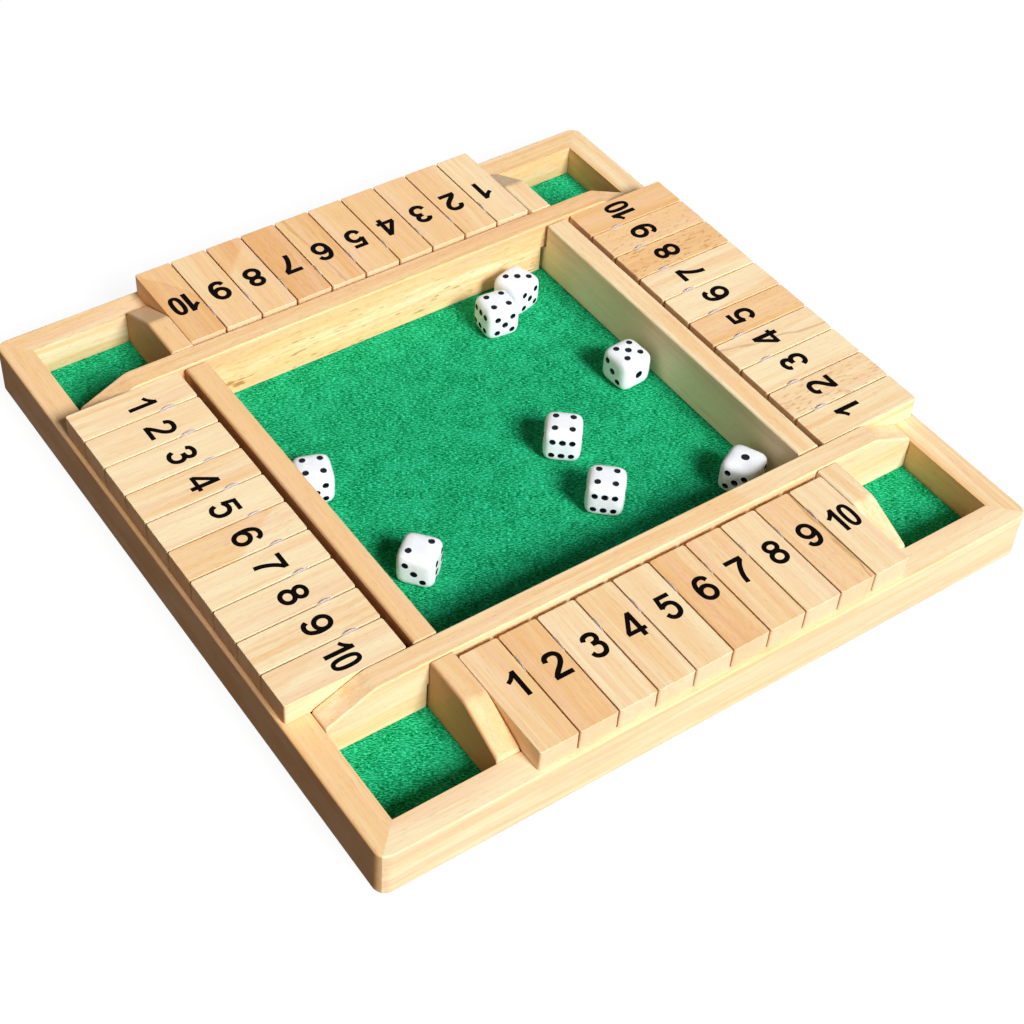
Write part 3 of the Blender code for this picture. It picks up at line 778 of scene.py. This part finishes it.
# Each label: digits with their shift and their width's share
labels = {number: [(str(number), 0.0, 1.0)] for number in range(1, 10)}
labels[10] = [("1", -3.75, 0.88), ("0", 3.05, 1.0)]
printing = {
    "pitch": 0.0180, "sideways": {"front": 0.0015, "right": 0.0007, "back": 0.0001, "left": 0.0003},
    "middleDistance": {"front": 0.1274, "right": 0.1280, "back": 0.1286, "left": 0.1274},
    "weight": {"front": 1.02, "right": 1.13, "back": 1.15, "left": 1.00},
    "depth": 0.00002, "proud": 0.00002, "smoothSteps": 7, "ringSteps": 56, "mergeGap": 0.000001,
}


def smoothLine(points):
    # A soft curve that passes through every point
    if len(points) == 2:
        return [Vector(point) for point in points]
    ends = [Vector(point) for point in points]
    ends = [2 * ends[0] - ends[1]] + ends + [2 * ends[-1] - ends[-2]]
    line = []
    for a, b, c, d in zip(ends, ends[1:], ends[2:], ends[3:]):
        for step in range(printing["smoothSteps"]):
            t = step / printing["smoothSteps"]
            square, cube = 2 * a - 5 * b + 4 * c - d, 3 * b - a - 3 * c + d
            line.append(0.5 * (2 * b + (c - a) * t + square * t ** 2 + cube * t ** 3))
    return line + [ends[-2]]


def ringLine(middle, radii, square):
    line = []
    for step in range(printing["ringSteps"] + 1):
        angle = 2 * math.pi * step / printing["ringSteps"]
        c, s = math.cos(angle), math.sin(angle)
        across = math.copysign(abs(c) ** (2 / square), c) * radii[0]
        up = math.copysign(abs(s) ** (2 / square), s) * radii[1]
        line.append(Vector((middle[0] + across, middle[1] + up)))
    return line


def strokeMesh(stroke, shift, share, weight, name):
    # A short edge as wide as the stroke is drawn along the line, then given its thickness
    closed = stroke[0] == "ring"
    line = ringLine(*stroke[2:]) if closed else smoothLine(stroke[2])
    line = [Vector((point.x * share + shift, point.y)) * millimetre for point in line]
    half = stroke[1] / 2 * weight * millimetre
    bm = bmesh.new()
    edge = None
    for index, point in enumerate(line):
        before = line[index - 1] if index else (line[-2] if closed else point)
        after = line[index + 1] if index + 1 < len(line) else (line[1] if closed else point)
        run = (after - before).normalized()
        side = Vector((-run.y, run.x)) * half
        places = [(point + side).to_3d(), (point - side).to_3d()]
        if edge is None:
            edge = bm.edges.new([bm.verts.new(place) for place in places])
            continue
        drawn = bmesh.ops.extrude_edge_only(bm, edges=[edge])["geom"]
        edge = next(item for item in drawn if isinstance(item, bmesh.types.BMEdge))
        # The new edge keeps the order of the old one's corners
        for vert, place in zip(edge.verts, places):
            vert.co = place
    bmesh.ops.remove_doubles(bm, verts=bm.verts, dist=printing["mergeGap"])
    bmesh.ops.recalc_face_normals(bm, faces=bm.faces)
    raised = bmesh.ops.extrude_face_region(bm, geom=bm.faces[:])["geom"]
    lifted = [item for item in raised if isinstance(item, bmesh.types.BMVert)]
    bmesh.ops.translate(bm, verts=lifted, vec=(0, 0, printing["depth"] + printing["proud"]))
    bmesh.ops.recalc_face_normals(bm, faces=bm.faces)
    return finishedMesh(bm, name)


def labelMesh(number, weight):
    strokes = [
        patternPiece(f"stroke_{number}_{digit}_{index}", strokeMesh(stroke, shift, share, weight, "stroke"))
        for digit, shift, share in labels[number] for index, stroke in enumerate(digitStrokes[digit])
    ]
    base, others = strokes[0], strokes[1:]
    if others:
        group = bpy.data.collections.new(f"strokes_{number}")
        for other in others:
            group.objects.link(other)
        join = base.modifiers.new("join", "BOOLEAN")
        join.operation, join.solver, join.operand_type, join.collection = "UNION", "EXACT", "COLLECTION", group
    mesh = settled(base)
    discard(strokes)
    mesh.set_sharp_from_angle(angle=math.radians(sharpAngles["plain"]))
    return mesh


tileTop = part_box("front_tile_01")[1].z
middleNumber = (tileNumbers[0] + tileNumbers[-1]) / 2
for number in tileNumbers:
    for row in rowNames:
        across = printing["sideways"][row] + (number - middleNumber) * printing["pitch"]
        spot = (across, -printing["middleDistance"][row], tileTop - printing["depth"])
        mesh = labelMesh(number, printing["weight"][row])
        mesh.name = f"{row}_number_{number:02d}"
        mesh.transform(rowTurn(row) @ Matrix.Translation(spot))
        addPiece(mesh.name, mesh, [numberInk], f"{row}_tile_{number:02d}")
print("numbers done")


# Hinge rods, and the washers that part the tiles

rodShape = {"diameter": 0.0030, "chamfer": 0.0003, "chamferSteps": 2, "steps": 32, "squareGap": 0.00001}
# The drop is how far a washer may hang below its rod's middle
washerShape = {
    "outside": 0.0130, "inside": 0.0038, "thickness": 0.00040, "easing": 0.00010, "steps": 48, "drop": 0.00035,
    "mergeGap": 0.000005,
}


def spun(profile, steps):
    # A closed outline of places along and radii, turned all the way round the X axis
    bm = bmesh.new()
    verts = [bm.verts.new((along, 0, radius)) for along, radius in profile]
    edges = [bm.edges.new(pair) for pair in zip(verts, verts[1:] + verts[:1])]
    bmesh.ops.spin(
        bm, geom=verts + edges, axis=(1, 0, 0), cent=(0, 0, 0), angle=math.radians(360), steps=steps, use_merge=True,
    )
    bmesh.ops.remove_doubles(bm, verts=bm.verts, dist=washerShape["mergeGap"])
    bmesh.ops.recalc_face_normals(bm, faces=bm.faces)
    return bm


def rodMesh(halfLength):
    bm = bmesh.new()
    bmesh.ops.create_cone(
        bm, cap_ends=True, segments=rodShape["steps"], radius1=rodShape["diameter"] / 2,
        radius2=rodShape["diameter"] / 2, depth=2 * halfLength, matrix=Matrix.Rotation(math.radians(90), 4, "Y"),
    )
    rims = [edge for edge in bm.edges if abs(edge.verts[0].co.x - edge.verts[1].co.x) < rodShape["squareGap"]]
    bmesh.ops.bevel(
        bm, geom=rims, offset=rodShape["chamfer"], offset_type="OFFSET", segments=rodShape["chamferSteps"],
        profile=0.5, affect="EDGES", clamp_overlap=True, material=-1,
    )
    return bm


def washerMesh(places, seed):
    chance = random.Random(seed)
    half, soft = washerShape["thickness"] / 2, washerShape["easing"]
    outer, inner = washerShape["outside"] / 2, washerShape["inside"] / 2
    profile = [
        (-half, inner), (-half, outer - soft), (-half + soft, outer), (half - soft, outer), (half, outer - soft),
        (half, inner),
    ]
    bm = spun(profile, washerShape["steps"])
    first = bm.verts[:] + bm.edges[:] + bm.faces[:]
    for place in places[1:]:
        copied = bmesh.ops.duplicate(bm, geom=first)["geom"]
        moved = [item for item in copied if isinstance(item, bmesh.types.BMVert)]
        bmesh.ops.translate(bm, verts=moved, vec=(place - places[0], 0, -chance.uniform(0, washerShape["drop"])))
    bmesh.ops.translate(bm, verts=bm.verts, vec=(places[0], 0, 0))
    return bm


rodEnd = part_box("front_rod")[1].x
tileEdges = [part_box(f"front_tile_{number:02d}") for number in tileNumbers]
pitch = tileEdges[1][0].x - tileEdges[0][0].x
gap = tileEdges[1][0].x - tileEdges[0][1].x
washerPlaces = [tileEdges[0][0].x - gap / 2 + pitch * index for index in range(1, len(tileNumbers))]
for turn, row in enumerate(rowNames):
    place = rowTurn(row) @ Matrix.Translation((0, -tileShape["axisDistance"], tileShape["axisHeight"]))
    for name, bm, material, slotName in (
        (f"{row}_rod_steel", rodMesh(rodEnd), rodSteel, "rod_steel"),
        (f"{row}_washers", washerMesh(washerPlaces, seeds["washers"] + turn), washerNylon, "washer_nylon"),
    ):
        mesh = finishedMesh(bm, name)
        mesh.transform(place)
        addPiece(name, mesh, [material], "tray", [f"{row}_rod"])
print("rods and washers done")


# Base: a thin panel in the rails' grooves, with one sheet of felt glued on

baseShape = {
    "panelTop": 0.0070, "panelEasing": 0.0003, "feltSide": 0.2934, "feltTop": 0.0078, "feltLift": 0.00002,
    "feltGrid": 110, "lumps": 0.00005, "lumpScale": 90.0, "fineScale": 310.0, "fineShare": 0.4,
}


def panelMesh():
    low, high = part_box("felted_base")
    size = (high.x - low.x, high.y - low.y, baseShape["panelTop"] - low.z)
    bm = bmesh.new()
    centre = (0, 0, (low.z + baseShape["panelTop"]) / 2)
    bmesh.ops.create_cube(bm, size=1, matrix=Matrix.Translation(centre) @ Matrix.Diagonal((*size, 1)))
    bmesh.ops.bevel(
        bm, geom=bm.edges[:], offset=baseShape["panelEasing"], offset_type="OFFSET", segments=2, profile=0.5,
        affect="EDGES", clamp_overlap=True, material=-1,
    )
    return bm


def feltMesh():
    # A grid with the slight unevenness of glued cloth, and its full thickness under it
    bm = bmesh.new()
    cells = baseShape["feltGrid"]
    bmesh.ops.create_grid(bm, x_segments=cells, y_segments=cells, size=baseShape["feltSide"] / 2)
    share = baseShape["fineShare"]
    for vert in bm.verts:
        broad, fine = noise.noise(vert.co * baseShape["lumpScale"]), noise.noise(vert.co * baseShape["fineScale"])
        lump = broad * (1 - share) + fine * share
        vert.co.z = baseShape["feltTop"] - baseShape["lumps"] + lump * baseShape["lumps"]
    raised = bmesh.ops.extrude_face_region(bm, geom=bm.faces[:])["geom"]
    under = [item for item in raised if isinstance(item, bmesh.types.BMVert)]
    for vert in under:
        vert.co.z = baseShape["panelTop"] + baseShape["feltLift"]
    bmesh.ops.recalc_face_normals(bm, faces=bm.faces)
    return bm


panel = finishedMesh(panelMesh(), "base_panel")
markWood(panel, alongX, seeds["panel"], (0.10, 0.6, 0.2))
weighNormals(addPiece("base_panel", panel, [panelWood], "tray", ["felted_base"]))
sheet = finishedMesh(feltMesh(), "felt_sheet", sharpAngles["felt"])
felt = addPiece("felt_sheet", sheet, [greenFelt], "tray", ["felted_base"])
print("base and felt done")


# Dice: pillowy cubes with a polished hollow at each pip

dieShape = {
    "size": 0.01695, "cuts": 27, "fullness": 4.8, "pipDiameter": 0.00315, "acePipDiameter": 0.0038,
    "pipDepth": 0.00078, "spacing": 0.0039, "sixSpacing": 0.0044, "ballSegments": 28, "ballRings": 18,
}
# Each number's face: the way it looks, and its own across and up
dieFaces = {
    1: (Vector((0, 0, 1)), Vector((1, 0, 0)), Vector((0, 1, 0))),
    2: (Vector((1, 0, 0)), Vector((0, 1, 0)), Vector((0, 0, 1))),
    3: (Vector((0, -1, 0)), Vector((1, 0, 0)), Vector((0, 0, 1))),
    4: (Vector((0, 1, 0)), Vector((1, 0, 0)), Vector((0, 0, 1))),
    5: (Vector((-1, 0, 0)), Vector((0, 1, 0)), Vector((0, 0, 1))),
    6: (Vector((0, 0, -1)), Vector((1, 0, 0)), Vector((0, 1, 0))),
}
# Turn in degrees, number on top, number towards the front before the turn
diceTurns = {
    "die_1": (-49.3, 2, 3), "die_2": (-39.5, 4, 6), "die_3": (-41.8, 4, 6), "die_4": (3.7, 5, 1),
    "die_5": (-7.0, 4, 5), "die_6": (14.2, 3, 5), "die_7": (-64.1, 1, 5),
}
# The eighth die is past the part's count of nodes, so it goes with the tray
extraDie = {"place": (-0.0802, 0.0191, 0.0165), "turn": (-19.5, 4, 5)}


def pipPlaces(number):
    near, far = dieShape["spacing"], dieShape["sixSpacing"]
    middle = [(0, 0)] if number % 2 else []
    falling, rising = [(-near, near), (near, -near)], [(-near, -near), (near, near)]
    if number == 6:
        return [(across, up) for across in (-far, 0, far) for up in (-near, near)]
    if number in (4, 5):
        return middle + falling + rising
    return middle + (falling if number == 2 else rising if number == 3 else [])


def diePattern():
    bm = bmesh.new()
    bmesh.ops.create_cube(bm, size=1)
    bmesh.ops.subdivide_edges(bm, edges=bm.edges[:], cuts=dieShape["cuts"], use_grid_fill=True)
    power = dieShape["fullness"]
    for vert in bm.verts:
        vert.co = Vector(math.sin(share * math.pi / 2) / math.sin(math.pi / 4) for share in vert.co)
        reach = sum(abs(share) ** power for share in vert.co) ** (1 / power)
        vert.co *= dieShape["size"] / 2 / reach
    pattern = patternPiece("diePattern", finishedMesh(bm, "diePattern", sharpAngles["pattern"]))
    balls = bmesh.new()
    for number, (normal, across, up) in dieFaces.items():
        half = (dieShape["acePipDiameter"] if number == 1 else dieShape["pipDiameter"]) / 2
        radius = (half ** 2 + dieShape["pipDepth"] ** 2) / (2 * dieShape["pipDepth"])
        out = dieShape["size"] / 2 + radius - dieShape["pipDepth"]
        turn = normal.to_track_quat("Z", "Y").to_matrix().to_4x4()
        for along, height in pipPlaces(number):
            place = Matrix.Translation(across * along + up * height + normal * out)
            bmesh.ops.create_uvsphere(
                balls, u_segments=dieShape["ballSegments"], v_segments=dieShape["ballRings"], radius=radius,
                matrix=place @ turn,
            )
    for face in balls.faces:
        face.material_index = 1
    cutter = patternPiece("pipPattern", finishedMesh(balls, "pipPattern", sharpAngles["pattern"]))
    for piece in (pattern, cutter):
        for material in (diePlastic, pipPaint):
            piece.data.materials.append(material)
    mesh = cutWith(pattern, cutter, "pips")
    mesh.shade_smooth()
    mesh.set_sharp_from_angle(angle=math.radians(sharpAngles["die"]))
    return mesh


def dieTurn(yaw, top, front):
    topNormal, frontNormal = dieFaces[top][0], dieFaces[front][0]
    own = Matrix((frontNormal, topNormal.cross(frontNormal), topNormal))
    up = Vector((0, 0, 1))
    facing = Vector((math.sin(yaw), -math.cos(yaw), 0))
    shown = Matrix((facing, up.cross(facing), up)).transposed()
    return (shown @ own).to_4x4()


def addDie(name, pattern, place, turn, body, replaced):
    mesh = pattern.copy()
    mesh.name = name
    yaw, top, front = turn
    mesh.transform(Matrix.Translation(place) @ dieTurn(math.radians(yaw), top, front))
    addPiece(name, mesh, [diePlastic, pipPaint], body, replaced)


dieMesh = diePattern()
for node, turn in diceTurns.items():
    low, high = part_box(node)
    addDie(f"{node}_shell", dieMesh, (low + high) / 2, turn, node, [node])
addDie("die_8_shell", dieMesh, extraDie["place"], extraDie["turn"], "tray", [])
print("dice done")


# Studio: a soft lamp from the front, a weak fill from the left, a dim room, and a white floor that keeps the shadow

studio = {
    "cameraPlace": (-0.36479, -0.47270, 0.59270),
    "cameraTurn": (43.649296, -1.957860, -33.688819),
    "lens": 67.42,
    "sensor": 36.0,
    "shift": 0.0652,
    "clip": (0.01, 20.0),
    "lamps": {
        "window": {"height": 39.0, "side": 6.5, "strength": 4.60, "softness": 20.0, "tint": (1.0, 1.018, 1.01)},
        "fill": {"height": 28.0, "side": -80.0, "strength": 0.42, "softness": 50.0, "tint": (1.0, 0.87, 0.72)},
    },
    "roomLight": 0.040,
    "roomTint": (1.0, 0.93, 0.86, 1.0),
    "floorReach": 4.0,
    "floorDrop": 0.0002,
    "floorBounce": 0.04,
    "floorSeen": 0.09,
    "floorGlow": 0.92,
}


def addCamera():
    data = bpy.data.cameras.new("camera")
    data.lens, data.sensor_width, data.shift_x = studio["lens"], studio["sensor"], studio["shift"]
    data.clip_start, data.clip_end = studio["clip"]
    camera = bpy.data.objects.new("camera", data)
    camera.location = studio["cameraPlace"]
    camera.rotation_euler = [math.radians(angle) for angle in studio["cameraTurn"]]
    bpy.context.scene.collection.objects.link(camera)
    bpy.context.scene.camera = camera


def addLamp(name, look):
    data = bpy.data.lights.new(name, "SUN")
    data.energy, data.color = look["strength"], look["tint"]
    data.angle = math.radians(look["softness"])
    lamp = bpy.data.objects.new(name, data)
    lamp.rotation_euler = (math.radians(90 - look["height"]), 0, math.radians(look["side"]))
    bpy.context.scene.collection.objects.link(lamp)


def seenRays(tree):
    paths = addNode(tree, "LightPath")
    seen = calc(tree, "MAXIMUM", paths.outputs["Is Camera Ray"], paths.outputs["Is Glossy Ray"])
    return calc(tree, "MAXIMUM", seen, paths.outputs["Is Transmission Ray"])


def addRoom():
    world = bpy.data.worlds.new("room")
    world.use_nodes = True
    tree = world.node_tree
    seen = seenRays(tree)
    tint = blend(tree, seen, studio["roomTint"], (1.0, 1.0, 1.0, 1.0))
    tree.links.new(tint, tree.nodes["Background"].inputs["Color"])
    tree.links.new(calc(tree, "MAXIMUM", seen, studio["roomLight"]), tree.nodes["Background"].inputs["Strength"])
    bpy.context.scene.world = world


def addFloor():
    bm = bmesh.new()
    bmesh.ops.create_grid(bm, x_segments=1, y_segments=1, size=studio["floorReach"])
    mesh = bpy.data.meshes.new("floor")
    bm.to_mesh(mesh)
    bm.free()
    floor = bpy.data.objects.new("floor", mesh)
    floor.location.z = -studio["floorDrop"]
    bpy.context.scene.collection.objects.link(floor)
    material, tree, shader = newMaterial("paleFloor")
    seen = seenRays(tree)
    lit, shown = ((studio[key],) * 3 + (1.0,) for key in ("floorBounce", "floorSeen"))
    tree.links.new(blend(tree, seen, lit, shown), shader.inputs["Base Color"])
    setSockets(shader, {"Roughness": 1.0, "Specular IOR Level": 0.0, "Emission Color": (1.0, 1.0, 1.0, 1.0)})
    tree.links.new(times(tree, seen, studio["floorGlow"]), shader.inputs["Emission Strength"])
    mesh.materials.append(material)


addCamera()
for name, look in studio["lamps"].items():
    addLamp(name, look)
addRoom()
addFloor()
bpy.context.scene.view_settings.view_transform = "Standard"
print("studio done")
